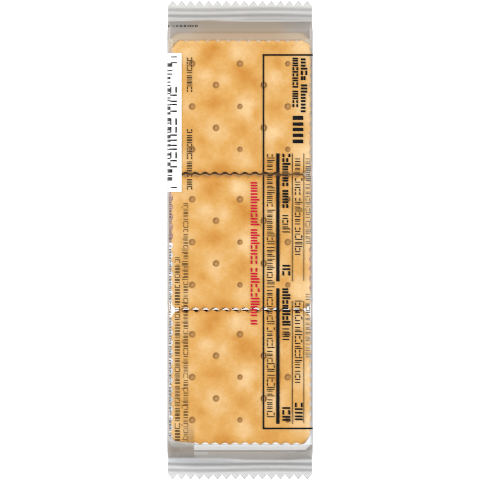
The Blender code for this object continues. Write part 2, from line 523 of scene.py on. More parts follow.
def side_veil(x, y, upper):
    """The painted shade and highlight along the film's long edges. Over the white field at the left edge
    there is little of it.
    """
    sides = {}
    for side, stops in SIDE_SHADE_AND_HIGHLIGHT.items():
        reach, values = zip(*stops)
        sides[side] = np.stack([np.interp(np.abs(x), reach, channel) for channel in np.array(values).T], -1)
    veil = np.where((x < 0)[:, None], sides[-1], sides[1])
    _, _, field_low, field_high = BAR_FIELD
    veil[:, 3] *= np.where(upper & (x < 0) & (y > field_low) & (y < field_high), FIELD_CLEARNESS, 1)
    return veil


def frosting_start(x, end):
    """Where the crimp's frosting starts at x: it waves a little across the pack."""
    if end == 1:
        start, rise, hump = FAR_FROSTING
        return start + rise * bell(x, *hump)
    start, rise, rising, fall, falling = NEAR_FROSTING
    return start + rise * smoothstep(*rising, x) - fall * smoothstep(*falling, x)


def end_veil(x, y, upper, end):
    """The haze, painted shade and painted highlights of one end's half of the film at each point."""
    along = y * end
    side = np.abs(x)
    # The shelf past the last cracker, a trapezoid with a rim, and the corners beside it
    lapped = smoothstep(*LAP_START, LAP_X - x) * (end == -1)
    edge = LAST_EDGE[end] - (LAP_RISE + LAP_TILT * (LAP_X - x)) * lapped
    past = np.where(upper, smoothstep(*SHELF_START, along - edge), along - edge > SHELF_START_UNDER)
    out = np.clip((along - edge) / (FOLD[end] - edge), 0, 1)
    at_edge, at_fold = SHELF_HALF_WIDTH[end]
    beside = smoothstep(*BESIDE_START, side - at_edge - (at_fold - at_edge) * out)
    shelf = past * (1 - beside)
    rim = (1 - smoothstep(*RIM_FADE[end], along - edge)) * (1 - smoothstep(*RIM_SIDE_FADE[end], side))
    # The slope down to the crimp, with a fold above it
    sloped = smoothstep(*SLOPE_START, along - FOLD[end])
    down = np.clip((along - FOLD[end]) / (CRIMP_START[end] - FOLD[end]), 0, 1)
    fold = bell(along - FOLD[end], *FOLD_LINE) * (1 - beside) * (1 - lapped)
    x_low, x_high, along_low, along_high = SLOPE_PATCH
    patch = (x > x_low) & (x < x_high) & (along > along_low) & (along < along_high) & (end == -1)
    glint = bell(side, *GLINT_LINE) * past * (end == 1) * (1 - smoothstep(*GLINT_FADE, along))
    # The crimp: frosted, with painted shade in its grooves and over one side, and at the near end a painted
    # highlight along its start
    frosted = along - frosting_start(x, end)
    phase = groove_phase(x, y)
    cool = smoothstep(*COOL_ACROSS, x * end) * smoothstep(*COOL_START, frosted)
    # The teeth, ribbed and a little darker along their cut edges
    tooth = smoothstep(*TOOTH_START, along - VALLEY_Y)
    across = (x / CRIMP_HALF_WIDTH + 1) * TOOTH_COUNT / 2
    inside = (1 - np.abs((across % 1) * 2 - 1)) * TOOTH_DEPTH - (along - VALLEY_Y)
    rib = 0.5 + 0.5 * np.cos(2 * math.pi * inside / TOOTH_RIB)
    layers = (
        (SHELF_SHADE_AND_WHITE[end], shelf),
        (SHELF_SIDE_SHADE_AND_WHITE[end], shelf * smoothstep(*SHELF_SIDES, side)),
        (RIM_SHADE_AND_WHITE[end], shelf * rim),
        (LAP_HAZE, shelf * lapped),
        (LAP_RIM_HAZE, shelf * lapped * rim),
        (CORNER_SHADE[end], past * beside),
        (blend(UPPER_SLOPE_SHADE[end], LOWER_SLOPE_SHADE[end], down), sloped),
        (SLOPE_SIDE_SHADE[end], sloped * smoothstep(*SLOPE_SIDES, side)),
        (LAP_SLOPE_SHADE, lapped * smoothstep(*LAP_SLOPE_START, along - LAP_FOLD)),
        (FOLD_SHADE[end], fold * FOLD_STRENGTH[end]),
        (PATCH_HAZE, PATCH_SHARE * patch),
        (EDGE_GLINT_HAZE, glint * np.where(x > 0, *GLINT_SHARES)),
        (CRIMP_HAZE[end], smoothstep(*FROSTING_START, frosted)),
        (CRIMP_SIDE_SHADE[end], cool * (1 - smoothstep(*COOL_FADE, phase))),
        (LIP_HIGHLIGHT, LIP_SHARE * bell(frosted, *LIP_LINE) * (end == -1)),
        (INNER_GROOVE_SHADE, bell(phase, 0, GROOVE_REACH)),
        (OUTER_GROOVE_SHADE, bell(phase, 1, GROOVE_REACH)),
        (TOOTH_HAZE, tooth),
        (TOOTH_RIM_HAZE, tooth * np.maximum(1 - smoothstep(*TOOTH_RIM_FADE, inside), TOOTH_RIB_SHARE * rib)),
    )
    veil = corner_veil(side_veil(x, y, upper), x, y)
    for colour, share in layers:
        veil = blend(veil, colour, share)
    return veil


def film_veil(points):
    """The film's haze, painted shade and painted highlights at each point: its colour, and how much it hides
    as alpha.
    """
    x, y, z = points.T
    upper = z > MIDDLE_Z
    veil = np.where((y > 0)[:, None], end_veil(x, y, upper, 1), end_veil(x, y, upper, -1))
    # The walls, with the points along their upper edge and without those along their lower one
    on_wall = (np.abs(z - MIDDLE_Z - TINY) < HALF_HEIGHT - BODY_CORNER) & (np.abs(y) < BODY_END)
    veil[:, 3] *= np.where(on_wall, WALL_CLEARNESS, 1)
    return veil


# The crackers

HOLE_SPACING_X = 13.85
HOLE_SPACING_Y = 6.2
HOLE_PATTERN_X = -0.33
HOLE_PATTERN_Y = 0.10
HOLE_RADIUS = 0.92
HOLE_DEPTH = 0.55
SMALL_HOLES = (1, 2, 6, 12)
SMALL_HOLE_SHARE = 0.82
DIMPLE_DEPTH = 0.10
CORNER_RADIUS = 3.0
NEAR_RIGHT_CORNER = 3.2
SCALLOP_DEPTH = 0.58
SCALLOP_REACH = 2.2
SCALLOP_END = (3.0, 0.6)
RIM_REACH = 1.3
RIM_FALL = 0.28
FACE_DROP = 0.20
OUTLINE_NOISE = (Noise(0.10, 5, 50, 0),)
FACE_NOISE = (Noise(0.10, 4.5, 70, 11), Noise(0.03, 0.9, 70, 12))
TOAST_NOISE = (Noise(0.16, 2.6, 60, 3), Noise(0.12, 1.3, 60, 4))

# Across a hole, in its radii from its middle: where its slope and its floor's colour end and start, and the
# middle and the reach of its dark wall and of the dimple round it
HOLE_SLOPE = (0.60, 1.05)
HOLE_FLOOR = (0.70, 1.10)
HOLE_WALL = (0.84, 0.26)
DIMPLE = (0, 2.6)

# How each edge is scalloped: the pitch of its scallops, where one of them lies, how far those in the middle
# stray, and whether its valleys are narrower (above 1) or wider (below 1) than its scallops
SCALLOPS = {
    "far": (2.91, -16.06, 0.8, 1.4),
    "near": (2.92, -15.97, -0.48, 0.7),
    "right": (2.75, 0.4, 0.3, 1.0),
    "left": (2.75, -0.7, -0.2, 0.7),
}

# The edges in the order of the rim's points: each one's axis, and which way is out along it
EDGES = (("near", 1, -1), ("right", 0, 1), ("far", 1, 1), ("left", 0, -1))

# Toasted and pale places on a cracker's face: x and y from its middle, the two radii, and how toasted
# (above 0) or pale (below 0) it is
BLOTCHES = (
    (-9.6, 14.6, 2.2, 2.0, 0.8),
    (-7.6, 17.0, 2.4, 1.6, 0.8),
    (9.7, 17.6, 3.6, 1.7, 0.5),
    (10.6, 12.2, 1.5, 2.2, 0.5),
    (-1.3, 11.6, 1.5, 1.2, 0.5),
    (1.1, 8.8, 2.6, 2.9, 0.9),
    (4.4, 6.6, 2.0, 2.0, 0.5),
    (-8.1, 1.2, 3.4, 1.8, 0.85),
    (4.3, -1.5, 1.5, 1.5, 0.6),
    (9.8, -0.4, 1.9, 1.8, 0.6),
    (0.3, -7.0, 2.7, 2.5, 0.55),
    (-11.0, -9.9, 1.4, 1.5, 0.6),
    (4.2, -12.1, 1.7, 1.7, 0.45),
    (11.6, -11.2, 1.4, 1.4, 0.5),
    (-5.2, -17.8, 2.6, 1.5, 0.85),
    (8.7, -16.6, 2.6, 1.7, 0.5),
    (-14.6, -8.4, 2.2, 2.4, 0.3),
    (-1.4, 15.9, 1.8, 2.4, -1.0),
    (1.9, 15.0, 1.9, 2.8, -0.55),
    (-10.6, 8.8, 2.3, 2.1, -0.9),
    (-5.4, 7.6, 2.3, 2.4, -0.45),
    (9.3, 8.2, 2.4, 2.6, -1.0),
    (1.3, 0.1, 2.9, 3.6, -1.0),
    (-7.3, -6.8, 3.0, 2.9, -0.9),
    (9.3, -7.6, 3.2, 2.9, -1.0),
    (0.6, -14.9, 2.2, 2.9, -0.7),
    (-15.6, 15.8, 3.0, 2.8, -0.6),
    (17.4, 16.5, 2.8, 2.8, -0.9),
    (-15.4, 0.6, 2.8, 2.8, -0.6),
    (17.6, 0.2, 2.4, 3.4, -0.9),
    (17.2, -13.6, 2.8, 3.0, -1.0),
    (-15.2, -14.6, 2.6, 2.6, -0.6),
)


def hole_places():
    """The middles of the thirteen docker holes, in rows of three and two."""
    places = []
    for row in range(-2, 3):
        columns = (-1, 0, 1) if row % 2 == 0 else (-0.5, 0.5)
        for column in columns:
            places.append((HOLE_PATTERN_X + column * HOLE_SPACING_X, HOLE_PATTERN_Y + row * HOLE_SPACING_Y))
    return places


def scallop(edge, along):
    """How far an edge draws in: the far and right edges bulge out, and the near and left ones arch in."""
    pitch, first, stray, fullness = SCALLOPS[edge]
    phase = (along - first - stray * np.cos(math.pi * along / CRACKER_WIDTH)) / pitch
    half = (CRACKER_WIDTH if edge in ("far", "near") else CRACKER_LENGTH) / 2
    fade = 1 - toward_edge(half, SCALLOP_END, np.abs(along))
    return SCALLOP_DEPTH * fade * (np.cos(math.pi * phase) ** 2) ** fullness


def outline_mapping(u, v, seed):
    """Maps a square grid, -1 to 1 each way, to a cracker's scalloped outline. Returns x, y and the ring."""
    half_x = CRACKER_WIDTH / 2
    half_y = CRACKER_LENGTH / 2
    corner = np.where((u > 0) & (v < 0), NEAR_RIGHT_CORNER, CORNER_RADIUS)
    x = u * half_x
    y = v * half_y
    over_x = np.abs(x) - (half_x - corner)
    over_y = np.abs(y) - (half_y - corner)
    both = (over_x > 0) & (over_y > 0)
    length = np.maximum(np.hypot(over_x, over_y), TINY)
    radius = np.maximum(over_x, over_y)
    x = np.where(both, np.sign(x) * (half_x - corner + over_x / length * radius), x)
    y = np.where(both, np.sign(y) * (half_y - corner + over_y / length * radius), y)
    ring = np.maximum(np.abs(u), np.abs(v))
    near_edge = smoothstep(1 - SCALLOP_REACH / half_x, 1, ring)
    on_side = np.abs(u) >= np.abs(v)
    normal_x = np.where(both, np.sign(x) * over_x / length, np.where(on_side, np.sign(u), 0))
    normal_y = np.where(both, np.sign(y) * over_y / length, np.where(on_side, 0, np.sign(v)))
    across = np.where(v > 0, scallop("far", u * half_x), scallop("near", u * half_x))
    upright = np.where(u > 0, scallop("right", v * half_y), scallop("left", v * half_y))
    offset = unevenness(x, y, OUTLINE_NOISE, seed) - np.where(on_side, upright, across)
    return x + normal_x * offset * near_edge, y + normal_y * offset * near_edge, ring


# How strongly a cracker's face is toasted, with painted light and shade along its rims: its blotches' fall,
# the far, near and side rims' strength and reach, and the middle and the scale of it all
BLOTCH_FALL = 0.8
FAR_RIM = (1.7, 0.4)
NEAR_RIM = (2.6, 0.6)
NEAR_RIM_SHADE = 0.25
SIDE_RIM = (3.0, 1.0)
SIDE_RIM_LIGHT = -0.45
TOAST_MIDDLE = 0.5
TOAST_SCALE = 0.38


def toast_and_rim_shading_of(x, y, seed, far_rim_shading):
    """How toasted a cracker's face is at x, y, from 0, pale, to 1, dark, with painted shade along its near
    rim, painted light along its side rims and the far rim's painted light and shade.
    """
    toast_and_rim_shading = unevenness(x, y, TOAST_NOISE, seed)
    for spot_x, spot_y, reach_x, reach_y, strength in BLOTCHES:
        distance = ((x - spot_x) / reach_x) ** 2 + ((y - spot_y) / reach_y) ** 2
        toast_and_rim_shading += strength * np.exp(-distance * BLOTCH_FALL)
    # Painted light and shade along the rims: the far rim's by its stack, shade along the near rim, light
    # along the side rims
    toast_and_rim_shading += far_rim_shading * toward_edge(CRACKER_LENGTH / 2, FAR_RIM, y)
    toast_and_rim_shading += NEAR_RIM_SHADE * toward_edge(CRACKER_LENGTH / 2, NEAR_RIM, -y)
    toast_and_rim_shading += SIDE_RIM_LIGHT * toward_edge(CRACKER_WIDTH / 2, SIDE_RIM, np.abs(x))
    return np.clip(TOAST_MIDDLE + TOAST_SCALE * toast_and_rim_shading, 0, 1)


def cracker_top(cells, seed, far_rim_shading):
    """The grid of a cracker's face: its points, how toasted each one is with its rims' painted light and
    shade, and how deep in a hole each one is.
    """
    line = np.linspace(-1, 1, cells + 1)
    u, v = np.meshgrid(line, line)
    x, y, ring = outline_mapping(u, v, seed)
    inward = np.clip((1 - ring) * CRACKER_WIDTH / 2 / RIM_REACH, 0, 1)
    z = CRACKER_THICKNESS - FACE_DROP - RIM_FALL * (1 - inward) ** 2 + unevenness(x, y, FACE_NOISE, seed)
    wall = np.zeros_like(x)
    pit = np.zeros_like(x)
    for index, (hole_x, hole_y) in enumerate(hole_places()):
        radius = HOLE_RADIUS * (SMALL_HOLE_SHARE if index in SMALL_HOLES else 1.0)
        distance = np.hypot(x - hole_x, y - hole_y) / radius
        z -= HOLE_DEPTH * (1 - smoothstep(*HOLE_SLOPE, distance))
        z -= DIMPLE_DEPTH * bell(distance, *DIMPLE)
        wall = np.maximum(wall, bell(distance, *HOLE_WALL))
        pit = np.maximum(pit, 1 - smoothstep(*HOLE_FLOOR, distance))
    points = np.stack([x, y, z], -1).reshape(-1, 3)
    return points, toast_and_rim_shading_of(x, y, seed, far_rim_shading).ravel(), wall.ravel(), pit.ravel()


# A cracker's side, from its rim down: how high, as a share of the rim, how far out, and how much of its
# far edge's ledge shows there
SIDE_PROFILE = (
    (0.95, 1.000, 0.0),
    (0.91, 1.000, 0.95),
    (0.60, 1.001, 1.0),
    (0.42, 1.000, 0.9),
    (0.25, 0.996, 0.5),
    (0.10, 0.985, 0.0),
    (0.02, 0.965, 0.0),
    (0.0, 0.93, 0.0),
    (0.0, 0.70, 0.0),
    (0.0, 0.35, 0.0),
    (0.0, 0.08, 0.0),
)
SIDE_TOAST = 0.55
SIDE_SPREAD = 0.96
UNDERSIDE_TOAST = 0.35
LEDGE_HEIGHT = 0.5
LEDGE_END = (3.5, 1.0)

# The side's roughness, as a share of the cracker's size: where it stops, and its noise's steps round the
# rim and down, cell and seed's step
ROUGHNESS = 0.004
ROUGH_SPREAD = 0.97
ROUGH_STEPS = (0.37, 0.9)
ROUGH_CELL = 0.8
ROUGH_SEED = 20
SHARP_ANGLE = math.radians(55)

# A ledge along one edge of a cracker, just below its face: how much of the valleys between the scallops it
# fills, how far it comes out beyond them, how far its bumps reach into the arches of the edge that faces it,
# and the
# colour painted over it: each from its y in the pack upwards, the first from below the whole pack
Ledge = namedtuple("Ledge", "filled beyond bumps covers")
FACING = {"far": "near", "near": "far", "left": "right", "right": "left"}


def ledges_at(rim_points, side, ledges, stack_y):
    """A cracker's ledges at each point of its rim: how far they reach out in x and y, and their painted
    colour.
    """
    reach = np.zeros((len(rim_points), 2))
    cover = np.zeros((len(rim_points), 4))
    for number, (kind, axis, outward) in enumerate(EDGES):
        if kind not in ledges:
            continue
        ledge = ledges[kind]
        along = rim_points[:, 1 - axis]
        half = (CRACKER_LENGTH if axis == 0 else CRACKER_WIDTH) / 2
        out = ledge.filled * scallop(kind, along) + ledge.beyond
        out += ledge.bumps * scallop(FACING[kind], along) / SCALLOP_DEPTH
        on_edge = side == number
        reach[:, axis] += outward * on_edge * out * (1 - toward_edge(half, LEDGE_END, np.abs(along)))
        for from_y, colour in ledge.covers:
            cover[on_edge & (rim_points[:, 1] + stack_y >= from_y)] = colour
    return reach, cover


FILM_CLEARANCE = 0.09


def under_film(points, place):
    """A cracker's points, with its face lowered where it would come through the film at this place."""
    x, y, z = (points + place).T
    half_width, half_height, corner, _ = film_sizes(y)
    radius = corner - FILM_CLEARANCE
    over = np.clip(np.abs(x) - (half_width - corner), 0, radius)
    highest = MIDDLE_Z + half_height - corner + np.sqrt(radius**2 - over**2)
    return np.stack([points[:, 0], points[:, 1], np.minimum(z, highest) - place[2]], -1)


def make_cracker(name, cells, seed, far_rim_shading, ledges, place, material):
    """One cracker, its face up, its middle at the origin of its underside, to lie at this place."""
    top, toast_and_rim_shading, wall, pit = cracker_top(cells, seed, far_rim_shading)
    index = np.arange((cells + 1) ** 2).reshape(cells + 1, cells + 1)
    corners = [index[:-1, :-1], index[:-1, 1:], index[1:, 1:], index[1:, :-1]]
    faces = [np.stack(corners, -1).reshape(-1, 4)]
    around = np.concatenate([index[0, :-1], index[:-1, -1], index[-1, :0:-1], index[:0:-1, 0]])
    count = len(around)
    rim_points = top[around]
    points = [top]
    toasts_and_rim_shading = [toast_and_rim_shading]
    previous = around
    total = len(top)
    reach, cover = ledges_at(rim_points, np.arange(count) // cells, ledges, place[1])
    hazes = [np.zeros((len(top), 4))]
    for row, (height, spread, shown) in enumerate(SIDE_PROFILE):
        lower = rim_points.copy()
        round_rim = np.arange(count) * ROUGH_STEPS[0]
        rough = value_noise(round_rim, np.full(count, row * ROUGH_STEPS[1]), ROUGH_CELL, seed + ROUGH_SEED)
        lower[:, :2] *= spread * (1 + ROUGHNESS * (rough - 0.5) * (spread > ROUGH_SPREAD))[:, None]
        lower[:, :2] += reach * shown
        lower[:, 2] *= height
        current = total + np.arange(count)
        faces.append(np.stack([previous, current, np.roll(current, -1), np.roll(previous, -1)], -1))
        points.append(lower)
        toasts_and_rim_shading.append(np.full(count, SIDE_TOAST if spread > SIDE_SPREAD else UNDERSIDE_TOAST))
        hazes.append(cover * (height > LEDGE_HEIGHT))
        previous = current
        total += count
    points.append(np.array([[rim_points[:, 0].mean(), rim_points[:, 1].mean(), 0.0]]))
    toasts_and_rim_shading.append([UNDERSIDE_TOAST])
    hazes.append(np.zeros((1, 4)))
    all_faces = np.concatenate(faces).tolist()
    all_faces += [[int(a), total, int(b)] for a, b in zip(previous, np.roll(previous, -1))]
    points = under_film(np.concatenate(points), place)
    cracker = make_object(name, points, all_faces, material)
    cracker.data.set_sharp_from_angle(angle=SHARP_ANGLE)
    plain = np.zeros(total + 1 - len(top))
    paint(cracker, "toast_and_rim_shading", np.concatenate(toasts_and_rim_shading))
    paint(cracker, "wall", np.concatenate([wall, plain]))
    paint(cracker, "pit", np.concatenate([pit, plain]))
    paint_colour(cracker, "ledge", np.concatenate(hazes))
    return cracker


# A pad of filling: its half width and half length, how square it is, how far it bulges, and its steps round
# and rows up
PAD_SIZE = (17.6, 16.8)
PAD_SQUARENESS = 5
PAD_BULGE = 0.045
PAD_NOISE = (Noise(0.03, 0.55, 5, 0),)
PAD_STEPS = 96
PAD_ROWS = 9


def make_filling(name, seed, material):
    """A flattened pad of filling between two crackers, its middle at the origin of its underside."""
    turn = np.arange(PAD_STEPS) / PAD_STEPS * 2 * math.pi
    sine = np.sin(turn)
    cosine = np.cos(turn)
    radius = (np.abs(cosine) ** PAD_SQUARENESS + np.abs(sine) ** PAD_SQUARENESS) ** (-1 / PAD_SQUARENESS)
    radius *= 1 + unevenness(cosine, sine, PAD_NOISE, seed)
    points = []
    for row in range(PAD_ROWS):
        angle = math.pi * (row / (PAD_ROWS - 1) - 0.5)
        spread = radius * (1 - PAD_BULGE * (1 - math.cos(angle)))
        height = np.full(PAD_STEPS, FILLING_THICKNESS * (1 + math.sin(angle)) / 2)
        points.append(np.stack([spread * PAD_SIZE[0] * cosine, spread * PAD_SIZE[1] * sine, height], -1))
    faces = []
    for row in range(PAD_ROWS - 1):
        low = row * PAD_STEPS + np.arange(PAD_STEPS)
        onward = np.roll(low, -1)
        faces.append(np.stack([low, onward, onward + PAD_STEPS, low + PAD_STEPS], -1))
    faces = np.concatenate(faces).tolist()
    faces.append(list(range(PAD_STEPS - 1, -1, -1)))
    faces.append([(PAD_ROWS - 1) * PAD_STEPS + step for step in range(PAD_STEPS)])
    return make_object(name, np.concatenate(points), faces, material)


# Painted light (below 0) and painted shade (above 0) along the far rim of each stack's topmost cracker: light
# at the pack's far end, shade where it faces a gap; and its ledges
FAR_RIM_LIGHT_AND_SHADE = {1: -0.45, 2: 0.75, 3: 0.45}
BELOW_PACK = -90
TAN_BEYOND = haze_and_shade(200, 182, 160, 1.0)
LEFT_LEDGE = Ledge(
    filled=1.0,
    beyond=0.70,
    bumps=0.0,
    covers=((BELOW_PACK, haze_and_shade(243, 246, 251, 1.0)), (-0.8, haze_and_shade(194, 156, 142, 1.0)), (14, TAN_BEYOND)),
)
RIGHT_LEDGE = Ledge(
    filled=1.0,
    beyond=0.06,
    bumps=0.0,
    covers=((BELOW_PACK, haze_and_shade(226, 229, 234, 1.0)), (-14.5, haze_and_shade(196, 152, 140, 1.0)), (-1.5, TAN_BEYOND)),
)
# The far ledges of the second and third stacks are painted shade where they face the gaps; the first stack's
# far ledge is painted a light beige, lighter to make up for the shade in its valleys; the third stack's near
# ledge is the white print below painted on as it looks lit
LEDGES = {
    1: {
        "far": Ledge(1.0, 0.05, 0.0, covers=((BELOW_PACK, haze_and_shade(237, 212, 186, 1.0)),)),
        "near": Ledge(-0.3, 0.17, 0.0, covers=()),
        "left": LEFT_LEDGE,
        "right": RIGHT_LEDGE,
    },
    2: {
        "far": Ledge(1.0, 0.08, 0.36, covers=((BELOW_PACK, haze_and_shade(168, 134, 94, 0.6)),)),
        "left": LEFT_LEDGE,
        "right": RIGHT_LEDGE,
    },
    3: {
        "far": Ledge(0.0, 0.95, -1.05, covers=((BELOW_PACK, haze_and_shade(150, 106, 62, 0.7)),)),
        "near": Ledge(1.0, 0.28, 0.0, covers=((BELOW_PACK, haze_and_shade(252, 254, 254, 1.0)),)),
        "left": LEFT_LEDGE,
        "right": RIGHT_LEDGE,
    },
}

# How far each lower cracker lies off its stack's line: x and y, and its turn in degrees
SLIPS = {
    (1, 1, "upper"): (0.1, -0.10, 0.3),
    (2, 1, "upper"): (-0.1, 0.20, 0.4),
    (3, 1, "upper"): (0.1, -0.15, -0.3),
    (1, 2, "lower"): (0.05, -0.05, -0.2),
    (2, 2, "lower"): (0.05, 0.20, 0.4),
    (3, 2, "lower"): (-0.05, -0.10, 0.2),
}


# The cells along a cracker's face, on top of a stack and below it
TOP_CELLS = 200
INNER_CELLS = 110


def place_contents(cracker_look, filling_look):
    """Three stacks of two sandwiches. A lower cracker's face looks down, so it takes its place mirrored."""
    sandwich = 2 * CRACKER_THICKNESS + FILLING_THICKNESS
    for stack, y in STACK_Y.items():
        for layer in (1, 2):
            bottom = STACK_BOTTOM_GAP + (layer - 1) * (sandwich + BETWEEN_SANDWICHES)
            for half in ("lower", "upper"):
                upper = half == "upper"
                topmost = upper and layer == 2
                seed = stack + 10 * (layer - 1) + 5 * upper
                name = f"cracker_{stack}_{layer}_{half}"
                cells = TOP_CELLS if topmost else INNER_CELLS
                far_rim_shading = FAR_RIM_LIGHT_AND_SHADE[stack] if topmost else 0.0
                ledges = LEDGES[stack] if topmost else {}
                z = bottom + CRACKER_THICKNESS + (FILLING_THICKNESS if upper else 0)
                place = (STACK_X, y, z) if upper else (-STACK_X, y, 2 * MIDDLE_Z - z)
                cracker = make_cracker(name, cells, seed, far_rim_shading, ledges, place, cracker_look)
                slip_x, slip_y, turn = SLIPS.get((stack, layer, half), (0.0, 0.0, 0.0))
                cracker.rotation_euler = (0, 0 if upper else math.pi, math.radians(turn))
                at_place(cracker, STACK_X + slip_x, y + slip_y, z)
                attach(cracker, "root")
            filling = make_filling(f"filling_{stack}_{layer}", stack * 2 + layer, filling_look)
            at_place(filling, STACK_X, y, bottom + CRACKER_THICKNESS)
            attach(filling, "root")


# The print: plain fields, rules and rows of short strokes, in ink just inside the film

INK_THICKNESS = 0.015

# The inks: the names of each one's piece and material, its colour, how far inside the film it lies (below 0,
# outside), and whether it is on the underside
INKS = {
    "white": ("print_white_field", "white_ink", (251, 252, 251), 0.06, False),
    "black": ("print_black", "black_ink", (22, 21, 22), 0.03, False),
    "small": ("print_small_rows", "brown_black_ink", (58, 44, 32), 0.03, False),
    "faint": ("print_faint_rows", "grey_ink", (120, 112, 100), 0.03, False),
    "red": ("print_red_row", "red_ink", (205, 25, 58), 0.03, False),
    "outer": ("print_outer_marks", "outer_black_ink", (24, 22, 21), -0.025, False),
    "outer_grey": ("print_notch_rows", "outer_grey_ink", (112, 106, 98), -0.025, False),
    # The underside's dark ink is print that also stands for the shade seen down the gaps
    "under_dark_and_gap_shade": ("print_under_dark_and_gap_shade", "dark_brown_ink_and_gap_shade", (62, 34, 20), 0.03, True),
    "under_white": ("print_under_white", "under_white_ink", (244, 244, 242), 0.03, True),
}

# The longest steps of a field where it follows the film's bend, across and along the pack, and of a mark
FIELD_STEPS = (0.5, 0.8)
MARK_STEP = 0.3


def film_place(s, y, depth, under=False):
    """The point depth inside the film's body at arc length s from its middle line, over it or under it."""
    half_width, half_height, corner, _ = film_sizes(y)
    reach = half_width - corner
    bend = corner * math.pi / 2
    past_flat = np.abs(s) - reach
    angle = np.clip(past_flat / corner, 0, math.pi / 2)
    down = np.maximum(past_flat - bend, 0)
    inner = corner - depth
    x = np.where(past_flat <= 0, s, np.sign(s) * (reach + inner * np.sin(angle)))
    z = half_height - corner + inner * np.cos(angle) - down
    return np.stack([x, y, MIDDLE_Z + (-z if under else z)], -1)


def arc_at(x):
    """The arc length from the middle line at which the body's film has this x."""
    reach = HALF_WIDTH - BODY_CORNER
    share = np.clip((np.abs(x) - reach) / BODY_CORNER, 0, 1)
    return np.where(np.abs(x) <= reach, x, np.sign(x) * (reach + BODY_CORNER * np.arcsin(share)))


class Ink:
    """Gathers closed slabs of one ink into one mesh."""

    def __init__(self, depth, under):
        self.depth = depth
        self.under = under
        self.points = []
        self.faces = []
        self.count = 0

    def patch(self, corners, steps_s, steps_y):
        """A slab over a quadrilateral of (s, y) corners, in order round it, split to follow the film."""
        corners = np.asarray(corners, float)
        u, v = np.meshgrid(np.linspace(0, 1, steps_s + 1), np.linspace(0, 1, steps_y + 1), indexing="ij")
        u = u.ravel()[:, None]
        v = v.ravel()[:, None]
        near = corners[0] * (1 - u) + corners[1] * u
        far = corners[3] * (1 - u) + corners[2] * u
        s, y = (near * (1 - v) + far * v).T
        upper = film_place(s, y, self.depth, self.under)
        lower = film_place(s, y, self.depth + INK_THICKNESS, self.under)
        index = np.arange(len(s)).reshape(steps_s + 1, steps_y + 1)
        sheet = np.stack([index[:-1, :-1], index[1:, :-1], index[1:, 1:], index[:-1, 1:]], -1).reshape(-1, 4)
        edge = np.concatenate([index[:-1, 0], index[-1, :-1], index[:0:-1, -1], index[0, :0:-1]])
        onward = np.roll(edge, -1)
        skirt = np.stack([edge, edge + len(s), onward + len(s), onward], -1)
        faces = np.concatenate([sheet, sheet[:, ::-1] + len(s), skirt])
        area = (corners[1] - corners[0])[0] * (corners[3] - corners[0])[1]
        area -= (corners[1] - corners[0])[1] * (corners[3] - corners[0])[0]
        if (area < 0) != self.under:
            faces = faces[:, ::-1]
        self.points += [upper, lower]
        self.faces.append(faces + self.count)
        self.count += 2 * len(s)

    def field(self, x_low, x_high, y_low, y_high, wrap=0.0):
        """A rectangle between two x of the top view, and wrap further down a wall that it reaches."""
        s_low = float(arc_at(x_low)) - (wrap if x_low < 0 else 0)
        s_high = float(arc_at(x_high)) + (wrap if x_high > 0 else 0)
        curved = max(abs(s_low), abs(s_high)) > HALF_WIDTH - BODY_CORNER
        steps_s = max(1, math.ceil((s_high - s_low) / FIELD_STEPS[0])) if curved else 1
        steps_y = max(1, math.ceil((y_high - y_low) / FIELD_STEPS[1]))
        self.patch([(s_low, y_low), (s_high, y_low), (s_high, y_high), (s_low, y_high)], steps_s, steps_y)

    def finish(self, name, material):
        """The ink's mesh object, riding with the pack."""
        thing = make_object(name, np.concatenate(self.points), np.concatenate(self.faces).tolist(), material)
        thing.data.shade_flat()
        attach(thing, "root")
        return thing


def mark_bars(kind, width, height, stroke):
    """The bars of one plain mark, each from and to along its row, and from and to up it."""
    starts = (0, (width - stroke) / 2, width - stroke)
    left, middle, right = ((start, start + stroke, 0, height) for start in starts)
    return {
        "pair": (left, right),
        "levels": ((0, width, 0, stroke), (0, width, height - stroke, height)),
        "three": (left, middle, right),
        "tall": ((*middle[:3], TALL_SHARE * height),),
    }[kind]


# The kinds of mark, how often each comes, and its width as a share of the row's advance
MARK_KINDS = ("pair", "levels", "three", "tall")
MARK_SHARES = (0.44, 0.30, 0.10, 0.16)
MARK_WIDTHS = {"pair": 0.90, "levels": 0.72, "three": 1.45, "tall": 0.30}
TALL_SHARE = 1.38

# In advances: the gaps between marks and between words, how near its end a row may stop, and how much the
# marks' widths vary; and the lengths of a row's first word and of its others
MARK_GAP = 0.20
WORD_GAP = 0.55
ROW_END_GAP = 0.8
WIDTH_RANGE = (0.92, 1.06)
FIRST_WORD = (4, 10)
LATER_WORDS = (4, 11)

# A row of marks: the x of its foot, reading down (-1) or up (1) the pack, from y, to y, the height of its
# marks, the advance from mark to mark, their stroke, and the share of them that stand taller
Row = namedtuple("Row", "foot reading y_from y_to height advance stroke capitals")


